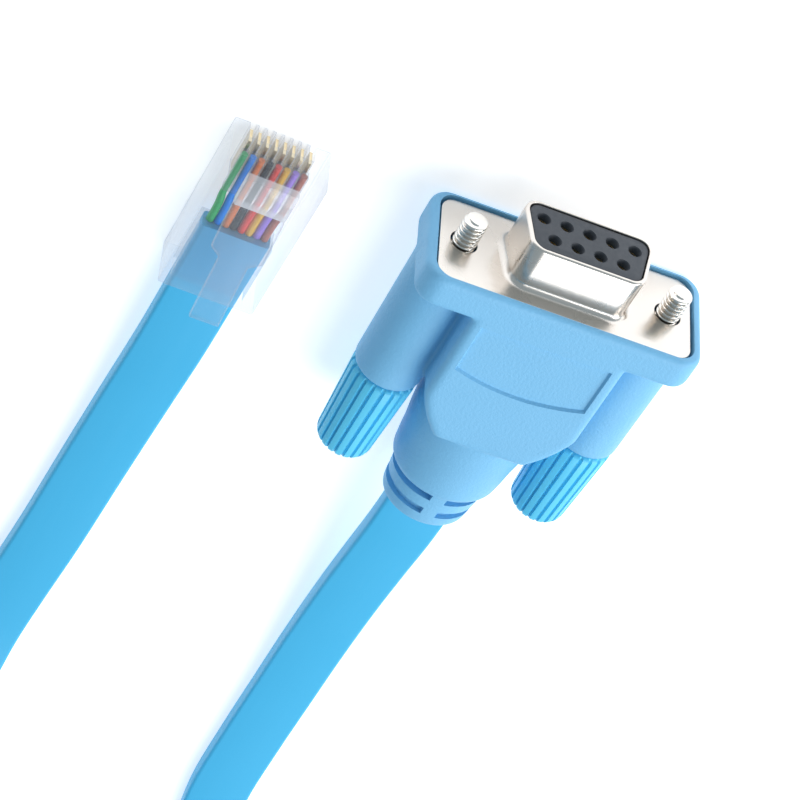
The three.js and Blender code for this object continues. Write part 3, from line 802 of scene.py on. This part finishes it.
class CABLE_OT_plug(bpy.types.Operator):
    """Make the clear plug with its latch, wires and blades"""
    bl_idname = "console_cable.plug"
    bl_label = "Plug"

    def housing(self, width, height):
        body = block(width, -PLUG_LENGTH, 0, 0, height, 0, 0.28, 3)
        root = block(6.2, -5.4, -1.2, height - 1, height + 1.3, 0, 0.2, 2)
        whole = combined(body, [root], "UNION")
        pockets = [block(8.8, -30, -12.7, 1.75, 4.85), block(8.46, -13.5, -7.2, BLADE_TOP, 4.05)]
        channels = [block(0.86, -7.5, -1.6, 2.7, 3.9, x, 0.1) for x in wire_places()]
        slots = [block(0.66, -6.15, 2, -1, BLADE_TOP, x) for x in wire_places()]
        return combined(whole, [gathered(pockets), gathered(channels), gathered(slots)], "DIFFERENCE")

    def latch(self):
        points = [(-3.1, -0.3), (-3.1, -6.1), (-1.75, -7.1), (-1.75, -15.6),
                  (1.75, -15.6), (1.75, -7.1), (3.1, -6.1), (3.1, -0.3)]
        return plan(points, -0.5, 0.5, 0.12, 2)

    def wire(self, x):
        near = x * 0.93
        stations = [(near, -12.7), (near, -11), (near * 1.02, -9.6), (x, -8.2), (x, -6.5), (x, -4.5), (x, -3),
                    (x, -1.9)]
        line = along([(across, y, WIRE_HEIGHT) for across, y in stations], 4)
        section = [(math.cos(math.radians(30 * i)), math.sin(math.radians(30 * i))) for i in range(12)]
        places = []
        for index, point in enumerate(line):
            ahead = (line[min(index + 1, len(line) - 1)] - line[max(index - 1, 0)]).normalized()
            side = ahead.cross(Vector((0, 0, 1))).normalized()
            radius = 0.47 - 0.07 * smooth_share(point.y, -9.2, -8)
            places.append((point, side * radius, side.cross(ahead) * radius))
        return loft(section, places)

    def execute(self, context):
        sizes = context.scene.cable_plug
        clear = clear_finish("plug_clear", (0.84, 0.86, 0.90), sizes.veil, sizes.height + 0.0001)
        lever_clear = clear_finish("lever_clear", (0.84, 0.86, 0.90), sizes.veil)
        housing = new_piece("plug_body", self.housing(sizes.width * 1000, sizes.height * 1000), PLUG, clear,
                            "cable", 25)
        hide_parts("plug_housing")
        lever = new_piece("plug_lever", self.latch(), LATCH, lever_clear, "latch", 25)
        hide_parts("plug_latch")
        for number, x, (name, colour) in zip(range(1, 9), wire_places(), WIRES):
            material = wire_finish(f"wire_{name}", colour)
            wire = new_piece(f"wire_{name}", self.wire(x), PLUG, material, "cable", 50)
            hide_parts(f"plug_wire_{number}")
        gilt = plated_finish("blade_gold", (0.82, 0.68, 0.44), 0.35)
        for index in range(1, 9):
            dress(f"plug_contact_{index}", gilt)
        nylon = nylon_finish("tie_nylon", (0.013, 0.014, 0.016))
        for index in (1, 2):
            dress(f"hank_tie_{index}", nylon)
        [point * 0.001 for point in cord_line()]
        return {"FINISHED"}


class CABLE_OT_stage(bpy.types.Operator):
    """Set the camera, the floor and the lights"""
    bl_idname = "console_cable.stage"
    bl_label = "Stage"

    def light(self, name, place, target, size, power):
        data = bpy.data.lights.new(name, "AREA")
        data.shape = "DISK"
        data.size = size
        data.energy = power
        lamp = bpy.data.objects.new(name, data)
        bpy.context.scene.collection.objects.link(lamp)
        lamp.location = place
        lamp.rotation_mode = "QUATERNION"
        lamp.rotation_quaternion = (Vector(target) - Vector(place)).to_track_quat("-Z", "Y")

    def execute(self, context):
        scene = context.scene
        sizes = scene.cable_stage
        camera_data = bpy.data.cameras.new("photo_camera")
        camera_data.lens = 144
        camera_data.sensor_width = 36
        camera_data.clip_start, camera_data.clip_end = 0.01, 10
        camera = bpy.data.objects.new("photo_camera", camera_data)
        scene.collection.objects.link(camera)
        right, up, back = (0.9165, 0.3961, -0.0555), (-0.3126, 0.6229, -0.7171), (-0.2495, 0.6746, 0.6947)
        axes = Matrix((right, up, back)).transposed()
        camera.matrix_world = Matrix.Translation((-0.1014, 0.2410, 0.2649)) @ axes.to_4x4()
        scene.camera = camera

        bm = bmesh.new()
        bmesh.ops.create_grid(bm, x_segments=1, y_segments=1, size=2)
        mesh = bpy.data.meshes.new("floor")
        bm.to_mesh(mesh)
        bm.free()
        floor = bpy.data.objects.new("floor", mesh)
        scene.collection.objects.link(floor)
        paper = Finish("floor_paper", sizes.floor, 0.9, specular_ior_level=0.1, emission_strength=sizes.glow)
        paper.set("Emission Color", (1, 1, 1, 1))
        mesh.materials.append(paper.material)

        self.light("key", (0.37, -0.16, 0.62), (0, -0.02, 0), 0.7, sizes.key)
        self.light("right", (0.5, 0.12, 0.3), (0, 0, 0), 0.3, sizes.key * 0.3)
        world = bpy.data.worlds.new("studio")
        scene.world = world
        world.use_nodes = True
        world.node_tree.nodes["Background"].inputs["Color"].default_value = (0.74, 0.90, 1, 1)
        world.node_tree.nodes["Background"].inputs["Strength"].default_value = sizes.air
        scene.view_settings.view_transform = "Standard"
        return {"FINISHED"}


class CABLE_PT_panel(bpy.types.Panel):
    """Lists the pieces of the console cable"""
    bl_idname = "CABLE_PT_panel"
    bl_label = "Console Cable"
    bl_space_type = "VIEW_3D"
    bl_region_type = "UI"
    bl_category = "Console Cable"

    def draw(self, context):
        for operator in OPERATORS:
            self.layout.operator(operator.bl_idname)


OPERATORS = (CABLE_OT_stage, CABLE_OT_cord, CABLE_OT_hood, CABLE_OT_shell, CABLE_OT_screws, CABLE_OT_plug)
SETTINGS = {"cable_cord": CordSettings, "cable_hood": HoodSettings, "cable_screws": ScrewSettings,
            "cable_plug": PlugSettings, "cable_stage": StageSettings}
CLASSES = (*SETTINGS.values(), *OPERATORS, CABLE_PT_panel)


def register():
    for item in CLASSES:
        bpy.utils.register_class(item)
    for name, settings in SETTINGS.items():
        setattr(bpy.types.Scene, name, PointerProperty(type=settings))


def unregister():
    for name in SETTINGS:
        delattr(bpy.types.Scene, name)
    for item in reversed(CLASSES):
        bpy.utils.unregister_class(item)


def main():
    register()
    bpy.ops.console_cable.stage()
    bpy.ops.console_cable.cord()
    bpy.ops.console_cable.hood()
    bpy.ops.console_cable.shell()
    bpy.ops.console_cable.screws()
    bpy.ops.console_cable.plug()


if __name__ == "__main__":
    main()
